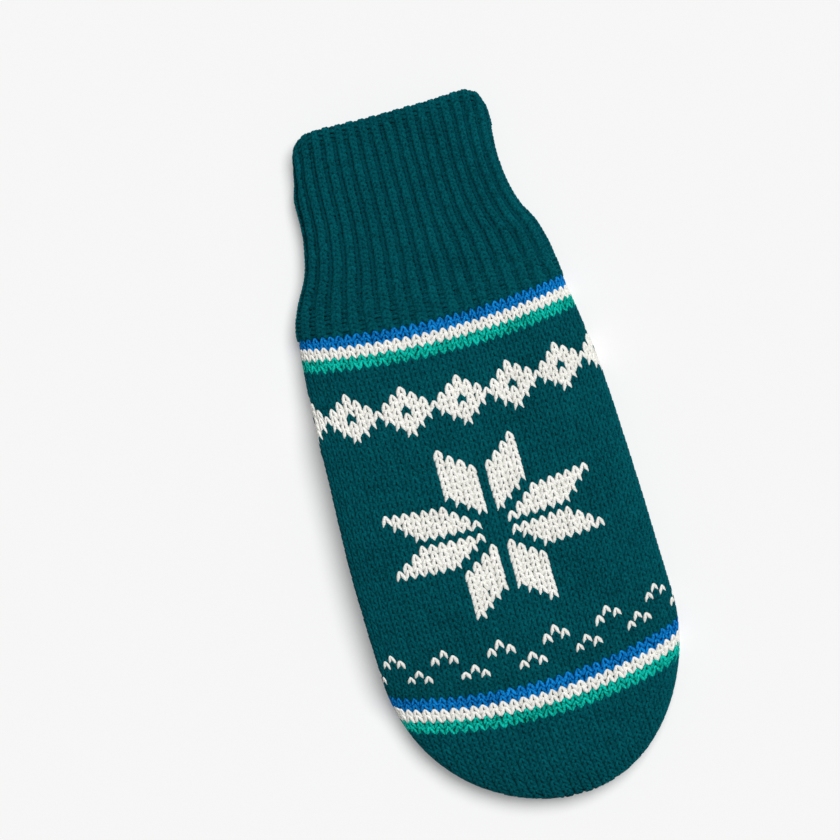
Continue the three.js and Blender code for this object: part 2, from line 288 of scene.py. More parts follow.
def before_tip_slope(y, depth):
    return 1 - smooth((THUMB_TIP_Y - SEAM_GAP - SLOPE_SHIFT * depth - y) / TIP_SLOPE)


def thumb_inner_x(y):
    return -half_width(y, "left") + THUMB_INSET + THUMB_WIDTH


def bottom_lift(x, y, depth):
    """How far the thumb raises the palm, with a step at its slit and slopes beside and past it."""
    beside = smooth((x - thumb_inner_x(y) - SEAM_GAP - SLOPE_SHIFT * depth) / PALM_SLOPE)
    run = mix(STEP_RUN, PALM_SLOPE, beside)
    past_slit = clamp01((STEP_Y + depth + STEP_RUN / 2 - y) / run)
    return PALM_LIFT * past_slit * before_tip_slope(y, depth) * (1 - beside)


def back_lift(x, y):
    thumb_drop = SEAM_Y - STEP_Y
    towards_rim = smooth((RIM_Y - y) / CUFF_LENGTH) * np.where(y > SEAM_Y, SEAM_RISE, 1.0)
    near_slit = np.where(y > SEAM_Y, 1.0, mix(SEAM_RISE, 1.0, smooth((SEAM_Y - y) / thumb_drop)))
    towards_tip = 1 - smooth((THUMB_TIP_Y + TIP_SLOPE / 2 - y) / (2 * TIP_SLOPE))
    across = 1 - smooth((x - thumb_inner_x(y) + PALM_SLOPE) / (3 * PALM_SLOPE))
    return BACK_RISE * towards_rim * near_slit * towards_tip * across


def edge_height(across, x, y):
    raised = PALM_LIFT * smooth((SEAM_Y - y) / (SEAM_Y - STEP_Y)) * before_tip_slope(y, 0.0)
    return mix(raised * smooth((1 - across) / 2), thickness_at(y) + back_lift(x, y), EDGE_SHARE)


def hand_section(y, angle, depth=0.0):
    """x and z of the hand and cuff at y, at an angle round it and a depth in the wall."""
    side_depth = depth * SIDE_SHARE
    tip_start_y = SEAM_Y - TIP_START * HAND_LENGTH
    t = clamp01((tip_start_y - y) / (tip_start_y - TIP_Y - side_depth))
    across = np.cos(angle)
    half = np.where(across < 0, half_width(y, "left"), half_width(y, "right"))
    x = across * (half - side_depth) * np.sqrt(1 - t * t)
    edge = edge_height(across, x, y)
    top = thickness_at(y) + back_lift(x, y) - depth
    bottom = bottom_lift(x, y, depth) + depth
    upper = edge + (top - edge) * bulge(t, TIP_TOP_POWER) * bulge(across, TOP_POWER)
    flat = np.minimum(1.0, FLATTEN * bulge(across, BOTTOM_POWER))
    lower = edge - (edge - bottom) * bulge(t, TIP_BOTTOM_POWER) * flat
    return x + TIP_LEAN * t**LEAN_POWER, np.where(np.sin(angle) >= 0, upper, lower)


def thumb_section(y, angle, depth=0.0):
    round_start_y = MOUTH_Y - THUMB_TIP_START * THUMB_LENGTH
    t = clamp01((round_start_y - y) / (round_start_y - THUMB_TIP_Y - depth * SIDE_SHARE))
    half = (THUMB_WIDTH / 2 - depth * SIDE_SHARE) * np.sqrt(1 - t * t)
    edge = THUMB_THICKNESS / 2
    across = np.cos(angle)
    upper = bulge(t, TIP_TOP_POWER) * bulge(across, THUMB_TOP_POWER)
    lower = bulge(t, TIP_BOTTOM_POWER) * np.minimum(1.0, FLATTEN * bulge(across, BOTTOM_POWER))
    share = np.where(np.sin(angle) >= 0, upper, -lower)
    middle = thumb_inner_x(np.minimum(y, MOUTH_Y)) - THUMB_WIDTH / 2
    return middle + half * across, edge + (edge - depth) * share


class Form:
    """A tube of sections, read by y and by turn: 0 in the middle of the back, 1 at the right edge,
    2 in the middle of the palm, and negative to the left."""

    STEPS = 30
    MARGIN = 1e-6

    def __init__(self, section, ys, depth=0.0):
        self.ys = ys
        self.lengths = {}
        parts_x = []
        parts_z = []
        for first_turn in (-2, -1, 0, 1):
            turns = np.linspace(first_turn, first_turn + 1, 4 * self.STEPS + 1)
            first_angle = math.pi / 2 * -first_turn
            angles = math.pi / 2 * (1 - turns)
            last_angle = first_angle + math.pi / 2
            angles = np.clip(angles, first_angle + self.MARGIN, last_angle - self.MARGIN)
            x, z = section(ys[:, None], angles[None, :], depth)
            steps = np.hypot(np.diff(x, axis=1), np.diff(z, axis=1))
            along = np.concatenate([np.zeros((len(ys), 1)), np.cumsum(steps, axis=1)], axis=1)
            self.lengths[first_turn] = along[:, -1]
            even = np.linspace(0, 1, self.STEPS + 1)
            last = self.STEPS if first_turn < 1 else self.STEPS + 1
            spaced_x = np.empty((len(ys), self.STEPS + 1))
            spaced_z = np.empty_like(spaced_x)
            for i in range(len(ys)):
                share = along[i] / max(along[i, -1], NEAR_ZERO)
                spaced_x[i] = np.interp(even, share, x[i])
                spaced_z[i] = np.interp(even, share, z[i])
            parts_x.append(spaced_x[:, :last])
            parts_z.append(spaced_z[:, :last])
        self.x = np.concatenate(parts_x, axis=1)
        self.z = np.concatenate(parts_z, axis=1)
        self.normals = self.find_normals()

    def find_normals(self):
        slope_x = np.gradient(self.x, self.ys, axis=0)
        slope_z = np.gradient(self.z, self.ys, axis=0)
        along_y = np.stack([slope_x, np.ones_like(self.x), slope_z], -1)
        wrapped_x = np.concatenate([self.x[:, -2:-1], self.x, self.x[:, 1:2]], axis=1)
        wrapped_z = np.concatenate([self.z[:, -2:-1], self.z, self.z[:, 1:2]], axis=1)
        around_x = wrapped_x[:, 2:] - wrapped_x[:, :-2]
        around_z = wrapped_z[:, 2:] - wrapped_z[:, :-2]
        around = np.stack([around_x, np.zeros_like(around_x), around_z], -1)
        return unit(np.cross(around, along_y))

    def place(self, y, turn):
        rows = np.interp(y, self.ys, np.arange(len(self.ys)))
        columns = (turn + 2) % 4 * self.STEPS
        i = np.minimum(rows.astype(int), len(self.ys) - 2)
        j = np.minimum(columns.astype(int), 4 * self.STEPS - 1)
        return i, j, rows - i, columns - j

    def blend(self, values, y, turn):
        i, j, a, b = self.place(y, turn)
        if values.ndim == 3:
            a = a[..., None]
            b = b[..., None]
        upper = values[i, j] * (1 - b) + values[i, j + 1] * b
        lower = values[i + 1, j] * (1 - b) + values[i + 1, j + 1] * b
        return upper * (1 - a) + lower * a

    def point(self, y, turn):
        x = self.blend(self.x, y, turn)
        z = self.blend(self.z, y, turn)
        return np.stack([x, y * np.ones_like(turn), z], -1)

    def normal(self, y, turn):
        return unit(self.blend(self.normals, y, turn))

    def quarter_length(self, y, turn_of):
        """The length of the quarter of the section that starts at turn_of, and never quite 0."""
        return np.maximum(np.interp(y, self.ys, self.lengths[turn_of]), self.MARGIN)


def stations(first, last, step, extra=()):
    """Places from first down to last, sorted upwards, closer together towards last."""
    count = int(abs(first - last) / step)
    even = np.linspace(last, first, count)
    near_tip = last + np.geomspace(TIP_STATION_FIRST, TIP_STATION_REACH, TIP_STATIONS)
    return np.unique(np.concatenate([even, near_tip, np.array(extra)]))


STEP_STATIONS = [STEP_Y + share * STEP_RUN for share in (-1, -0.5, 0.5, 1)]
hand_form = Form(hand_section, stations(RIM_Y, TIP_Y, STATION_STEP, STEP_STATIONS))
thumb_form = Form(thumb_section, stations(MOUTH_Y, THUMB_TIP_Y, STATION_STEP))


# Where the stitches lie


def pressed(points):
    """What would reach under the surface that the mitten lies on is pressed almost flat."""
    points[..., 2] -= (1 - PRESSED_SHARE) * np.minimum(points[..., 2], 0.0)
    return points


def flattened(height, turn):
    """Heights over the cloth, less along the sides, where the mitten lies folded."""
    near_side = 1 - smooth(np.abs(np.abs(turn) - 1) / SIDE_REACH)
    return height - SIDE_PRESS * near_side * np.maximum(height, 0.0)


def evenly_spaced(form, first_y, last_y, turn, pitch):
    """Places from first_y to last_y that lie one pitch apart on the cloth."""
    ys = np.linspace(first_y, last_y, LENGTH_SAMPLES)
    points = form.point(ys, np.full_like(ys, turn))
    along = np.concatenate([[0], np.cumsum(np.linalg.norm(np.diff(points, axis=0), axis=1))])
    count = int(along[-1] / pitch)
    return np.interp(np.arange(count + 1) * pitch, along, ys)


# Where the hand's rows past the lower stripes cross its middle line, and the thumb's its lower one
last_spaced_y = SEAM_Y - HAND_ROWS[-1]["at"] * HAND_LENGTH
tip_rows = evenly_spaced(hand_form, last_spaced_y, TIP_Y + TIP_MARGIN, 0.0, TIP_ROW_PITCH)
thumb_last_y = THUMB_TIP_Y + 2 * THUMB_TIP_MARGIN
thumb_rows = evenly_spaced(thumb_form, MOUTH_Y, thumb_last_y, 2.0, THUMB_ROW_PITCH)
HAND_ROW_COUNT = LAST_SPACED_ROW + len(tip_rows)


def hand_row_y(row):
    spaced = SEAM_Y - HAND_LENGTH * read(HAND_ROWS, row, "at", key="row")
    past = np.interp(row - LAST_SPACED_ROW, np.arange(len(tip_rows)), tip_rows)
    above = SEAM_Y - row * HAND_LENGTH * HAND_ROWS[1]["at"] / HAND_ROWS[1]["row"]
    return np.where(row < 0, above, np.where(row <= LAST_SPACED_ROW, spaced, past))


def column_turn(column, y):
    """The turn of a wale at y. Near the tip the wales keep their spacing and run off the edge."""
    size = np.abs(column)
    frozen_y = np.maximum(y, FREEZE_Y)
    spread = 1 + WALE_SPREAD * smooth((FREEZE_Y - y) / SPREAD_RUN)
    share = size / QUARTER
    turns = []
    for back, palm, crowding in ((0, 1, RIGHT_CROWDING), (-1, -2, LEFT_CROWDING)):
        crowded = share * (1 + crowding * (1 - share**CROWDING_POWER))
        on_back = crowded * spread * hand_form.quarter_length(frozen_y, back)
        on_palm = (2 * QUARTER - size) / QUARTER * spread * hand_form.quarter_length(frozen_y, palm)
        back_turn = on_back / hand_form.quarter_length(y, back)
        palm_turn = 2 - on_palm / hand_form.quarter_length(y, palm)
        turns.append(np.where(size <= QUARTER, back_turn, palm_turn))
    return np.where(column >= 0, turns[0], -turns[1])


def hand_spot(row, column):
    """y and turn of a place in the hand's chart, which may lie past the cloth's edge near the tip."""
    middle_y = hand_row_y(row)
    frozen_y = np.maximum(middle_y, FREEZE_Y)
    x = hand_form.blend(hand_form.x, frozen_y, column_turn(column, frozen_y))
    bow = read(HAND_ROWS, row, "bow", key="row")
    y = middle_y + bow * x**2 + read(HAND_ROWS, row, "tilt", key="row") * x
    return y, column_turn(column, y)


def hand_place(row, column, height, home_row, home_column):
    """Points at a height over the hand's cloth. A stitch stays on the side of the slit of its home."""
    y, turn = hand_spot(row, column)
    home_y, home_turn = hand_spot(home_row, home_column)
    on_back = np.abs(home_turn) <= 1
    turn = np.where(on_back, np.clip(turn, -1 - SIDE_OVERLAP, 1 + SIDE_OVERLAP), turn)
    past_side = ~on_back & (np.abs(turn) < 1 - SIDE_OVERLAP)
    turn = np.where(past_side, np.sign(home_turn) * (1 - SIDE_OVERLAP), turn)
    at_y = np.where(home_y > STEP_Y, np.maximum(y, STEP_Y + STEP_RUN), y)
    at_y = np.where(home_y <= STEP_Y, np.minimum(at_y, STEP_Y - STEP_RUN), at_y)
    at_y = np.where(on_back, y, at_y)
    at_y = np.clip(at_y, TIP_Y + TIP_MARGIN, RIM_Y)
    point = hand_form.point(at_y, turn)
    point[..., 1] = np.maximum(y, TIP_Y + TIP_MARGIN)
    return pressed(point + hand_form.normal(at_y, turn) * flattened(height, turn)[..., None])


def thumb_place(row, column, height, home_row, home_column):
    """Points at a height over the thumb's cloth, whose rows run straight round it."""
    middle_y = np.interp(row, np.arange(len(thumb_rows)), thumb_rows)
    middle_y = np.where(row < 0, MOUTH_Y - row * THUMB_ROW_PITCH, middle_y)
    frozen_y = np.maximum(middle_y, MOUTH_Y - THUMB_TIP_START * THUMB_LENGTH)
    size = np.abs(column)
    turns = []
    for top, under in ((0, 1), (-1, -2)):
        on_top = size / THUMB_QUARTER * thumb_form.quarter_length(frozen_y, top)
        from_under = (2 * THUMB_QUARTER - size) / THUMB_QUARTER
        on_under = from_under * thumb_form.quarter_length(frozen_y, under)
        top_turn = on_top / thumb_form.quarter_length(middle_y, top)
        top_turn = np.minimum(top_turn, 1 + THUMB_SIDE_OVERLAP)
        under_turn = 2 - on_under / thumb_form.quarter_length(middle_y, under)
        under_turn = np.maximum(under_turn, 1 - THUMB_SIDE_OVERLAP)
        turns.append(np.where(size <= THUMB_QUARTER, top_turn, under_turn))
    turn = np.where(column >= 0, turns[0], -turns[1])
    at_y = np.clip(middle_y, THUMB_TIP_Y + THUMB_TIP_MARGIN, MOUTH_Y)
    point = thumb_form.point(at_y, turn)
    return pressed(point + thumb_form.normal(at_y, turn) * height[..., None])


def rib_depth(rib, run):
    """How far the cloth lies under the ribs' crests. The ribs fade at the seam and on the lip."""
    ribbed = mix(SEAM_RIBS, 1.0, smooth(run / SEAM_RIBS_RUN))
    on_lip = 1 - smooth(np.abs(run - (LIP_START + LIP_END) / 2) / LIP_RIBS_RUN)
    from_crest = np.abs(rib - np.round(rib))
    valley = smooth((from_crest - RIB_CREST) / (0.5 - RIB_CREST))
    return RIB_HEIGHT * ribbed * mix(1.0, LIP_RIBS, on_lip) * valley


def rim_shift(x, along):
    """How much further up the cloth reaches near the rim, less where the rim's corners are round."""
    rim_y = np.array(RIM_Y)
    rim_half = np.where(x < 0, half_width(rim_y, "left"), half_width(rim_y, "right"))
    corner = np.where(x < 0, RIM_CORNERS["left"], RIM_CORNERS["right"])
    across = np.minimum(1.0, np.abs(x) / rim_half)
    near_rim = smooth(1 + (along - CUFF_LENGTH) / (RIM_CORNER_RUN * corner))
    round_share = clamp01(1 - (1 - across) * rim_half / corner)
    corner_drop = corner * (1 - bulge(round_share, RIM_CORNER_POWER))
    return near_rim * (RIM_RISE * across**2 - corner_drop)


def cuff_point(run, rib, height):
    """Points on the cuff. run is the way on the cloth from the seam, over the rim and inside."""
    turn = rib / RIB_QUARTER
    lip = np.clip((run - LIP_START) / LIP_RADIUS, 0, math.pi)
    inside = np.maximum(0.0, run - LIP_END)
    along = np.minimum(run, LIP_START) + LIP_RADIUS * np.sin(lip) - inside
    depth = LIP_RADIUS * (1 - np.cos(lip))
    y = np.clip(SEAM_Y + along, TIP_Y, RIM_Y)
    point = hand_form.point(y, turn)
    normal = hand_form.normal(y, turn)
    x = point[..., 0]
    seam_rise = HAND_ROWS[0]["bow"] * x**2 + HAND_ROWS[0]["tilt"] * x
    point[..., 1] = SEAM_Y + along + seam_rise * (1 - smooth(np.maximum(0.0, along) / BOW_FADE))
    point[..., 1] += rim_shift(x, along)
    outward = normal * np.cos(lip)[..., None]
    outward[..., 1] += np.sin(lip)
    return pressed(point - normal * depth[..., None] + outward * height[..., None])


def cuff_run(row):
    """The way on the cloth from the seam to a row. Row 0 lies inside the cuff."""
    return (CUFF_ROW_COUNT - row) * CUFF_ROW_PITCH


def cuff_place(row, column, height, home_row, home_column):
    """Points at a height over the cuff's cloth. Its last row ends under the hand's first stripe."""
    run = cuff_run(row)
    over_cloth = flattened(height, column / RIB_QUARTER)
    return cuff_point(run, column, over_cloth - rib_depth(column, run))


# The yarn


def quad_corners(row, column, columns):
    """The corners of a face in a grid of points that closes round on itself."""
    next_column = (column + 1) % columns
    first = row * columns
    second = first + columns
    return first + column, first + next_column, second + next_column, second + column


def make_lobe(course, pitches, rings, sides):
    """A closed lobe of yarn along a course, at the origin. Across and along are in wales and rows."""
    scale = (*pitches, 1.0)
    shares = np.linspace(0, 1, rings)
    centre = np.array([course(s)[:3] for s in shares]) * scale
    radii = np.array([course(s)[3:] for s in shares])
    tangent = unit(np.gradient(centre, axis=0))
    side = unit(np.cross(tangent, (0.0, 0.0, 1.0)))
    up = np.cross(side, tangent)
    angles = np.arange(sides) * 2 * math.pi / sides
    points = [
        centre[i] + radii[i, 0] * math.cos(a) * side[i] + radii[i, 1] * math.sin(a) * up[i]
        for i in range(rings)
        for a in angles
    ]
    points.append(centre[0] - tangent[0] * radii[0].mean() * START_CAP)
    points.append(centre[-1] + tangent[-1] * radii[-1].mean() * END_CAP)
    faces = []
    face_uvs = []
    head = rings * sides
    for i in range(rings - 1):
        for j in range(sides):
            a, b, c, d = quad_corners(i, j, sides)
            low, high = shares[i], shares[i + 1]
            u, v = j / sides, (j + 1) / sides
            faces += [(a, b, c), (a, c, d)]
            face_uvs += [((u, low), (v, low), (v, high)), ((u, low), (v, high), (u, high))]
    for j in range(sides):
        k = (j + 1) % sides
        u, v = j / sides, (j + 1) / sides
        faces.append((head, k, j))
        face_uvs.append((((u + v) / 2, -UV_CAP), (v, 0.0), (u, 0.0)))
        faces.append((head + 1, (rings - 1) * sides + j, (rings - 1) * sides + k))
        face_uvs.append((((u + v) / 2, 1 + UV_CAP), (u, 1.0), (v, 1.0)))
    points = np.array(points) / scale
    faces = np.array(faces)
    a, b, c = (points[faces[:, n]] for n in range(3))
    volume = np.einsum("ij,ij->", a, np.cross(b, c))
    if volume < 0:
        faces = faces[:, ::-1]
        face_uvs = [uv[::-1] for uv in face_uvs]
    return {"points": points, "faces": faces, "uvs": np.array(face_uvs)}


def mirrored(lobe):
    """The other leg of a stitch."""
    points = lobe["points"] * (-1, 1, 1)
    return {"points": points, "faces": lobe["faces"][:, ::-1], "uvs": lobe["uvs"][:, ::-1]}


def joined(*lobes):
    """One stitch out of its lobes, which stay apart."""
    starts = np.cumsum([0] + [len(lobe["points"]) for lobe in lobes])
    return {
        "points": np.concatenate([lobe["points"] for lobe in lobes]),
        "faces": np.concatenate([lobe["faces"] + start for lobe, start in zip(lobes, starts)]),
        "uvs": np.concatenate([lobe["uvs"] for lobe in lobes]),
        "lobe_of_face": np.repeat(np.arange(len(lobes)), [len(lobe["faces"]) for lobe in lobes]),
    }


def two_legs(course, pitches, rings, sides):
    """A knit stitch: a leg and its mirror image."""
    leg = make_lobe(course, pitches, rings, sides)
    return joined(leg, mirrored(leg))


def knit_leg(s):
    """Across, along, height and two radii of a leg: raised at its tip, tucked under at its foot."""
    across = 0.04 + 0.35 * s**0.76
    along = 0.12 + 1.34 * s
    height = -0.05 - 0.45 * smooth((s - 0.35) / 0.65)
    side_radius = 0.88 * (0.5 + 0.5 * smooth(s / 0.5))
    up_radius = 0.58 * (1 - 0.1 * s)
    return across, along, height, side_radius, up_radius


def rib_leg(s):
    """A leg on a rib's crest, which is drawn in and closer to its twin."""
    across = 0.03 + 0.22 * s
    along = 0.1 + 1.15 * s
    height = -0.1 - 0.3 * smooth((s - 0.3) / 0.7)
    side_radius = 0.84 * (0.7 + 0.3 * smooth(s / 0.35))
    up_radius = 0.62 * (1 - 0.1 * s)
    return across, along, height, side_radius, up_radius


def purl_bump(s):
    """The bump that a stitch shows in the valley between two ribs."""
    across = 0.4 * (s - 0.5)
    along = 2.0 * across**2
    height = -0.28 - 4.0 * across**2
    side_radius = 0.95
    up_radius = 0.5
    return across, along, height, side_radius, up_radius


def build_mesh(name, points, faces, yarn_uvs, cells, tones_and_painted_shade):
    """A mesh in metres. cells says in which cell of the bake grid each face lies."""
    mesh = bpy.data.meshes.new(name)
    mesh.vertices.add(len(points))
    mesh.vertices.foreach_set("co", (points * MM).astype(np.float32).ravel())
    mesh.loops.add(faces.size)
    mesh.loops.foreach_set("vertex_index", faces.astype(np.int32).ravel())
    mesh.polygons.add(len(faces))
    mesh.polygons.foreach_set("loop_start", np.arange(0, faces.size, faces.shape[1], dtype=np.int32))
    mesh.polygons.foreach_set("use_smooth", np.ones(len(faces), dtype=bool))
    mesh.update(calc_edges=True)
    mesh.validate()
    grid = math.ceil(math.sqrt(cells.max() + 1))
    corner = np.stack([cells % grid, cells // grid], -1)[:, None, :]
    in_cell = np.stack([yarn_uvs[..., 0], clamp01(yarn_uvs[..., 1])], -1)
    inner = mix(CELL_MARGIN, 1 - CELL_MARGIN, in_cell)
    bake = mesh.uv_layers.new(name="OFBake")
    bake.uv.foreach_set("vector", ((corner + inner) / grid).astype(np.float32).ravel())
    yarn = mesh.uv_layers.new(name="Yarn")
    yarn.uv.foreach_set("vector", yarn_uvs.astype(np.float32).ravel())
    # Each stitch's tone, which also carries painted shade for the stitches deep between the cuff's
    # ribs
    tone = mesh.attributes.new("tone", "FLOAT", "POINT")
    tone.data.foreach_set("value", tones_and_painted_shade.astype(np.float32))
    mesh.uv_layers.active = mesh.uv_layers["Yarn"]
    return mesh


def add_object(name, mesh, material, nodes):
    """A piece of the mitten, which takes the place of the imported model's nodes."""
    piece = bpy.data.objects.new(name, mesh)
    bpy.context.scene.collection.objects.link(piece)
    mesh.materials.append(material)
    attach(piece, "root")
    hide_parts(*nodes)
    return piece


def stitches(name, spots, template, place, material, nodes, seed, painted_shade_tone=0.0):
    """One piece made of a stitch at each (row, column) of spots."""
    random = np.random.default_rng(seed)
    spots = np.array(spots, dtype=float)
    count = len(spots)
    rows, columns = spots[:, 0], spots[:, 1]
    swing = random.normal(0, SWING, (count, 2))
    lean = random.normal(0, LEAN, (count, 1))
    spread = random.normal(1, WIDTH_SPREAD, (count, 1))
    size = random.normal(1, LENGTH_SPREAD, (count, 1))
    lift = random.normal(0, LIFT, (count, 1))
    # A stitch's tone differs at random; painted_shade_tone shifts it darker as painted shade for
    # stitches deep between the cuff's ribs
    tone = random.normal(painted_shade_tone, 1, count)
    shape = template["points"]
    across = columns[:, None] + swing[:, :1] + shape[None, :, 0] * spread + lean * shape[None, :, 1]
    along = rows[:, None] + swing[:, 1:] + shape[None, :, 1] * size
    height = lift + shape[None, :, 2]
    home_row = np.repeat(rows[:, None] + HOME_SHARE, len(shape), axis=1)
    home_column = np.repeat(columns[:, None], len(shape), axis=1)
    points = place(along, across, height, home_row, home_column).reshape(-1, 3)
    faces = template["faces"][None] + (np.arange(count) * len(shape))[:, None, None]
    uvs = np.repeat(template["uvs"][None], count, axis=0)
    lobe_count = template["lobe_of_face"].max() + 1
    cells = template["lobe_of_face"][None] + np.arange(count)[:, None] * lobe_count
    tones_and_painted_shade = np.repeat(tone, len(shape))
    mesh = build_mesh(name, points, faces.reshape(-1, 3), uvs.reshape(-1, 3, 2), cells.ravel(), tones_and_painted_shade)
    return add_object(name, mesh, material, nodes)


# The chart


def stitch_colour(row, column):
    """The yarn of a stitch. Back and palm are alike, each from its own middle."""
    if row in BLUE_ROWS:
        return "blue"
    if row in WHITE_ROWS:
        return "white"
    if row in GREEN_ROWS:
        return "green"
    across = abs(column) if abs(column) <= QUARTER else 2 * QUARTER - abs(column)
    in_repeat = across % MOTIF_REPEAT
    from_motif = min(in_repeat, MOTIF_REPEAT - in_repeat)
    from_diamond = abs(row - DIAMOND_ROW)
    if from_diamond <= DIAMOND_SIZE - from_motif and (from_diamond, from_motif) != (0, 0):
        return "white"
    from_flake = abs(row - FLAKE_ROW)
    if 1 <= across <= PETAL_COLUMNS and across + 2 <= from_flake <= across + 1 + PETAL_LENGTH:
        return "white"
    if 1 <= from_flake <= PETAL_COLUMNS and from_flake + 1 <= across <= from_flake + PETAL_LENGTH:
        return "white"
    half_repeat = MOTIF_REPEAT // 2
    if (row - UPPER_PEAK_ROW, half_repeat - from_motif) in ((0, 0), (1, 1)):
        return "white"
    if (row - LOWER_PEAK_ROW, from_motif) in ((0, 0), (1, 1)):
        return "white"
    return "teal"


def tube_spots(rows, columns):
    """Every (row, column) of a tube, with column 0 in the middle of its upper side."""
    return [(row, column) for row in range(rows) for column in range(-columns // 2, columns // 2)]


def hand_chart():
    """The spots of each colour on the back and on the palm, without those past the cloth's edge."""
    charts = {}
    for row, column in tube_spots(HAND_ROW_COUNT, HAND_WALES):
        y, turn = hand_spot(np.array(row + 0.5), np.array(float(column)))
        on_back = abs(column) <= QUARTER
        past_side = abs(turn) - 1 if on_back else 1 - abs(turn)
        if y < TIP_Y + CHART_MARGIN or past_side > CHART_OVERLAP:
            continue
        side = "back" if on_back else "palm"
        charts.setdefault((side, stitch_colour(row, column)), []).append((row, column))
    return charts


# Materials


def yarn_material(name, colour, deep_colour, tone_strength, side_painted_shade):
    """Soft wool: fibres twisted into plies, with painted light and shade on the twist (lighter on the
    plies, darker deep in the twist) and painted shade down the sides of a leg of yarn, with each
    stitch a touch different and painted shade on the stitches deep between the cuff's ribs."""
    material = bpy.data.materials.new(name)
    material.use_nodes = True
    nodes = material.node_tree.nodes
    links = material.node_tree.links
    shader = nodes["Principled BSDF"]
    shader.inputs["Roughness"].default_value = 0.95
    shader.inputs["Specular IOR Level"].default_value = 0.02
    shader.inputs["Sheen Weight"].default_value = 0.15
    shader.inputs["Sheen Roughness"].default_value = 0.5
    shader.inputs["Sheen Tint"].default_value = (*[c / max(colour) for c in colour], 1.0)

    uv = nodes.new("ShaderNodeUVMap")
    uv.uv_map = "Yarn"
    split = nodes.new("ShaderNodeSeparateXYZ")
    links.new(uv.outputs["UV"], split.inputs["Vector"])

    def math_node(operation, first, second):
        node = nodes.new("ShaderNodeMath")
        node.operation = operation
        for socket, value in zip(node.inputs, (first, second)):
            if isinstance(value, (int, float)):
                socket.default_value = value
            elif value is not None:
                links.new(value, socket)
        return node.outputs["Value"]

    def noise(scale, detail):
        node = nodes.new("ShaderNodeTexNoise")
        node.inputs["Scale"].default_value = scale
        node.inputs["Detail"].default_value = detail
        links.new(place.outputs["Object"], node.inputs["Vector"])
        return node.outputs["Fac"]

    def tone_of(value, strength):
        """A value of 0 to 1 as a tone that is lighter or darker than the mean."""
        return math_node("MULTIPLY", math_node("SUBTRACT", value, 0.5), strength)

    plies = 3
    twist = 2.2
    turned = math_node("MULTIPLY", split.outputs["X"], plies)
    advanced = math_node("MULTIPLY", split.outputs["Y"], twist * plies)
    phase = math_node("MULTIPLY", math_node("ADD", turned, advanced), 2 * math.pi)
    ply = math_node("MULTIPLY_ADD", math_node("SINE", phase, None), 0.5)
    ply.node.inputs[2].default_value = 0.5

    place = nodes.new("ShaderNodeTexCoord")
    fibres = noise(scale=1300.0, detail=3.0)
    clouds = noise(scale=55.0, detail=2.0)

    ply_relief = math_node("MULTIPLY", ply, 0.7)
    fibre_relief = math_node("MULTIPLY", fibres, 0.6)
    relief = math_node("ADD", ply_relief, fibre_relief)
    bump = nodes.new("ShaderNodeBump")
    bump.inputs["Strength"].default_value = 0.55
    bump.inputs["Distance"].default_value = 0.00025
    links.new(relief, bump.inputs["Height"])
    links.new(bump.outputs["Normal"], shader.inputs["Normal"])

    # The tone attribute: each stitch's random tone, and painted shade on the stitches deep between the
    # cuff's ribs
    tone = nodes.new("ShaderNodeAttribute")
    tone.attribute_name = "tone"
    stitch_tone_and_painted_shade = math_node("MULTIPLY", tone.outputs["Fac"], tone_strength)
    cloud_tone = tone_of(clouds, strength=0.35)
    fibre_tone = tone_of(fibres, strength=2.0)
    # Painted light and shade on the plies: lighter on their crests, darker deep in the twist
    ply_painted_light_and_shade = tone_of(ply, strength=0.22)
    # Painted shade down the sides of each leg, where its neighbours shade it; facing is 1 on the leg's
    # top
    facing = math_node("SINE", math_node("MULTIPLY", split.outputs["X"], 2 * math.pi), None)
    side_painted_shade_tone = math_node("MULTIPLY", math_node("SUBTRACT", facing, 1.0), side_painted_shade)
    mean_share = 0.62
    even_tone_and_valley_shade = math_node("ADD", math_node("ADD", stitch_tone_and_painted_shade, cloud_tone), mean_share)
    yarn_tone_and_painted_shade = math_node("ADD", math_node("ADD", fibre_tone, ply_painted_light_and_shade), side_painted_shade_tone)
    share = math_node("ADD", even_tone_and_valley_shade, yarn_tone_and_painted_shade)
    share.node.use_clamp = True
    blend = nodes.new("ShaderNodeMix")
    blend.data_type = "RGBA"
    blend.inputs["A"].default_value = (*deep_colour, 1.0)
    blend.inputs["B"].default_value = (*colour, 1.0)
    links.new(share, blend.inputs["Factor"])
    links.new(blend.outputs["Result"], shader.inputs["Base Color"])
    return material


def linear_level(level):
    """An sRGB level of 0 to 255 as linear light."""
    share = level / 255
    return share / 12.92 if share <= 0.04045 else ((share + 0.055) / 1.055) ** 2.4


def linear(red, green, blue):
    return linear_level(red), linear_level(green), linear_level(blue)


# The last two numbers: how much each stitch's tone differs, and the painted shade down the sides of
# its legs
TEAL = yarn_material("teal_yarn", linear(5, 92, 101), linear(0, 38, 46), 0.05, 0.3)
WHITE = yarn_material("white_yarn", linear(255, 254, 249), linear(212, 211, 202), 0.05, 0.05)
BLUE = yarn_material("blue_yarn", linear(22, 150, 234), linear(0, 32, 90), 0.06, 0.65)
GREEN = yarn_material("green_yarn", linear(20, 214, 194), linear(0, 70, 58), 0.06, 0.65)
BASE = yarn_material("teal_inner_yarn", linear(3, 74, 83), linear(0, 42, 50), 0.0, 0.0)


# The cloth behind the stitches


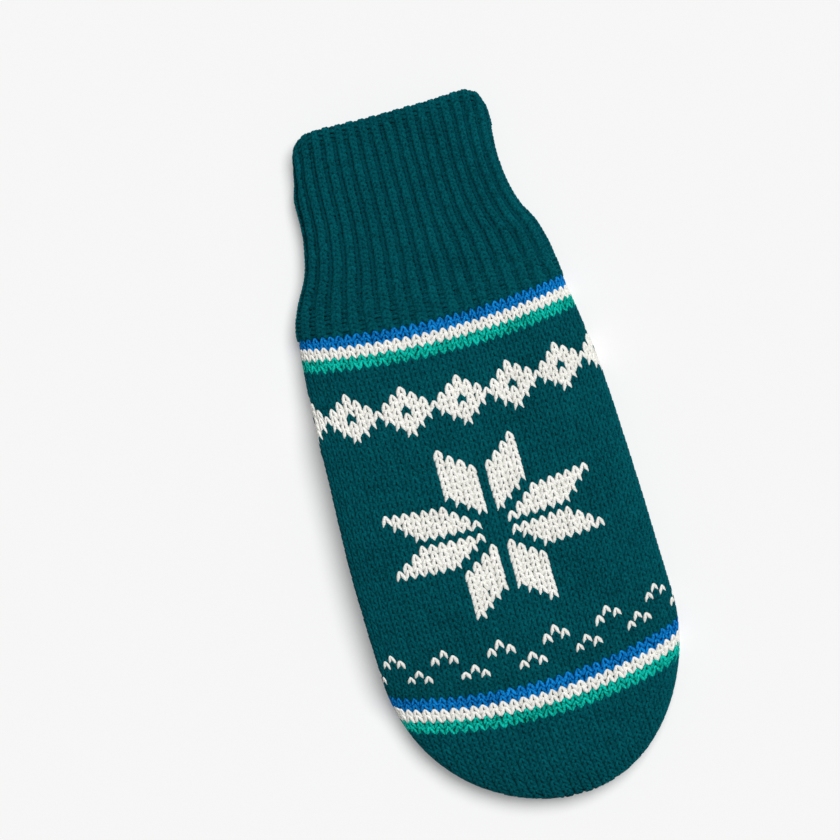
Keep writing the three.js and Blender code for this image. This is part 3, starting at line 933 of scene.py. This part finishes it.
def grid_mesh(name, outer, inner):
    """A closed wall between two grids of points of one shape, rows from one end to the other."""
    rows, columns = outer.shape[:2]
    points = np.concatenate([outer.reshape(-1, 3), inner.reshape(-1, 3)])
    skip = rows * columns
    faces = []
    for i in range(rows - 1):
        for j in range(columns):
            a, b, c, d = quad_corners(i, j, columns)
            faces.append((a, b, c, d))
            faces.append((skip + d, skip + c, skip + b, skip + a))
    for j in range(columns):
        k = (j + 1) % columns
        last = (rows - 1) * columns
        faces.append((j, skip + j, skip + k, k))
        faces.append((last + j, last + k, skip + last + k, skip + last + j))
    faces = np.array(faces)
    uvs = np.zeros((len(faces), 4, 2))
    uvs[:, :, 0] = np.array([0, 1, 1, 0])
    uvs[:, :, 1] = np.array([0, 0, 1, 1])
    return build_mesh(name, points, faces, uvs, np.arange(len(faces)), np.zeros(len(points)))


def tube_places(start_y, round_start_y, tip_y, depth, extra=()):
    """Places along a tube at a depth inside its surface, from its round tip up to start_y."""
    span = round_start_y - tip_y - depth * SIDE_SHARE
    round_part = round_start_y - span * np.sin(np.radians(TIP_DEGREES))
    straight = np.arange(round_start_y, start_y, CLOTH_STEP)
    return np.unique(np.concatenate([round_part, straight, np.array(extra)]))


def cloth_shell(name, section, end_ys, wall, nodes, extra=()):
    """A tube of cloth, closed at its tip, between CLOTH_DEPTH and a wall's thickness."""
    turns = np.linspace(-2, 2, CLOTH_COLUMNS, endpoint=False)
    surfaces = []
    for depth in (CLOTH_DEPTH, wall):
        ys = tube_places(*end_ys, depth, extra)
        grid_y, grid_turn = np.meshgrid(ys, turns, indexing="ij")
        surfaces.append(Form(section, ys, depth).point(grid_y, grid_turn))
    return add_object(name, grid_mesh(name, *surfaces), BASE, nodes)


def cuff_cloth():
    """The cuff's corrugated cloth: out from the seam, over the rim, and back inside to the seam."""
    hand_lap = 1.0
    outside_step = 2.0
    lip_places = 6
    inside_start = 3.0
    inside_step = 4.0
    places_per_rib = 4
    under_stitches = 0.3
    wall = 0.5
    outside = np.arange(-hand_lap, LIP_START, outside_step)
    lip = np.linspace(LIP_START, LIP_END, lip_places)
    inside = LIP_END + np.arange(inside_start, LIP_START, inside_step)
    ribs = np.linspace(-RIBS / 2, RIBS / 2, RIBS * places_per_rib, endpoint=False)
    grid_run, grid_rib = np.meshgrid(np.concatenate([outside, lip, inside]), ribs, indexing="ij")
    depth = rib_depth(grid_rib, grid_run) + under_stitches
    outer = cuff_point(grid_run, grid_rib, -depth)
    inner = cuff_point(grid_run, grid_rib, -depth - wall)
    return add_object("cuff_cloth", grid_mesh("cuff_cloth", outer, inner), BASE, ["cuff"])


def make_cloth():
    hand_round_y = SEAM_Y - TIP_START * HAND_LENGTH
    hand_ys = (SEAM_Y + SEAM_LAP, hand_round_y, TIP_Y)
    cloth_shell("hand_cloth", hand_section, hand_ys, KNIT_WALL, ["hand"], STEP_STATIONS)
    thumb_round_y = MOUTH_Y - THUMB_TIP_START * THUMB_LENGTH
    thumb_ys = (MOUTH_Y, thumb_round_y, THUMB_TIP_Y)
    cloth_shell("thumb_cloth", thumb_section, thumb_ys, KNIT_WALL, ["thumb"])
    cuff_cloth()


def make_hand_stitches(knit):
    yarns = {"teal": TEAL, "white": WHITE, "blue": BLUE, "green": GREEN}
    for number, ((side, colour), spots) in enumerate(sorted(hand_chart().items())):
        name = f"hand_{side}_{colour}"
        seed = HAND_SEED + number
        stitches(name, spots, knit[side], hand_place, yarns[colour], ["hand"], seed)


def make_cuff_stitches():
    """Knit stitches on the ribs' crests, and the bumps of purl stitches halfway between them."""
    rib = two_legs(rib_leg, CUFF_PITCHES, rings=4, sides=5)
    spots = tube_spots(CUFF_ROW_COUNT, RIBS)
    stitches("cuff_ribs", spots, rib, cuff_place, TEAL, ["cuff"], RIB_SEED)
    purl = joined(make_lobe(purl_bump, CUFF_PITCHES, rings=3, sides=4))
    spots = [(row, column + 0.5) for row, column in spots]
    runs = cuff_run(np.array([row for row, _ in spots]))
    # Painted shade: the valleys' stitches are painted darker the deeper they lie between the ribs
    tones_and_painted_shade = VALLEY_PAINTED_SHADE * clamp01(rib_depth(0.5, runs) / RIB_HEIGHT)
    stitches("cuff_valleys", spots, purl, cuff_place, TEAL, ["cuff"], VALLEY_SEED, tones_and_painted_shade)


def make_stitches():
    knit = {
        "back": two_legs(knit_leg, HAND_PITCHES, rings=5, sides=5),
        "palm": two_legs(knit_leg, HAND_PITCHES, rings=4, sides=5),
    }
    make_hand_stitches(knit)
    spots = tube_spots(len(thumb_rows) - 1, THUMB_WALES)
    nodes = ["thumb"]
    stitches("thumb_stitches", spots, knit["palm"], thumb_place, TEAL, nodes, THUMB_SEED)
    make_cuff_stitches()


# The scene


def make_floor():
    """A pale floor just under the mitten, which glows a little and so looks even."""
    size = 3.0
    drop = 0.0003
    mesh = bpy.data.meshes.new("floor")
    corners = [(-size, -size, 0), (size, -size, 0), (size, size, 0), (-size, size, 0)]
    mesh.from_pydata(corners, [], [(0, 1, 2, 3)])
    floor = bpy.data.objects.new("floor", mesh)
    bpy.context.scene.collection.objects.link(floor)
    material = bpy.data.materials.new("floor")
    material.use_nodes = True
    shader = material.node_tree.nodes["Principled BSDF"]
    shader.inputs["Base Color"].default_value = (0.64, 0.64, 0.64, 1.0)
    shader.inputs["Roughness"].default_value = 1.0
    shader.inputs["Specular IOR Level"].default_value = 0.0
    shader.inputs["Emission Color"].default_value = (1.0, 1.0, 1.0, 1.0)
    shader.inputs["Emission Strength"].default_value = 0.253
    mesh.materials.append(material)
    floor.location.z = -drop


def make_camera():
    """Straight above, turned as the photo is, with the photo's frame round the mitten."""
    photo_turn = math.radians(-15.3)
    frame_width = 0.3217
    frame_middle = (-0.0175, 0.01875)
    height = 1.5
    middle_height = 0.012
    data = bpy.data.cameras.new("camera")
    data.sensor_fit = "HORIZONTAL"
    data.sensor_width = 36.0
    data.lens = data.sensor_width * (height - middle_height) / frame_width
    camera = bpy.data.objects.new("camera", data)
    bpy.context.scene.collection.objects.link(camera)
    camera.location = (*frame_middle, height)
    camera.rotation_euler = (0.0, 0.0, photo_turn)
    bpy.context.scene.camera = camera


def make_light():
    """A large soft light high up past the mitten's right side and cuff, and some from all round."""
    height_angle = math.radians(65.0)
    compass_angle = math.radians(45.0)
    sun = bpy.data.lights.new("key", "SUN")
    sun.energy = 3.3
    sun.angle = math.radians(38.0)
    lamp = bpy.data.objects.new("key", sun)
    bpy.context.scene.collection.objects.link(lamp)
    lamp.rotation_euler = (0.0, math.pi / 2 - height_angle, compass_angle)

    world = bpy.data.worlds.new("studio")
    world.use_nodes = True
    background = world.node_tree.nodes["Background"]
    background.inputs["Color"].default_value = (1.0, 1.0, 1.0, 1.0)
    background.inputs["Strength"].default_value = 0.1
    bpy.context.scene.world = world


make_floor()
make_camera()
make_light()
make_cloth()
make_stitches()

bpy.context.scene.view_settings.view_transform = "Standard"
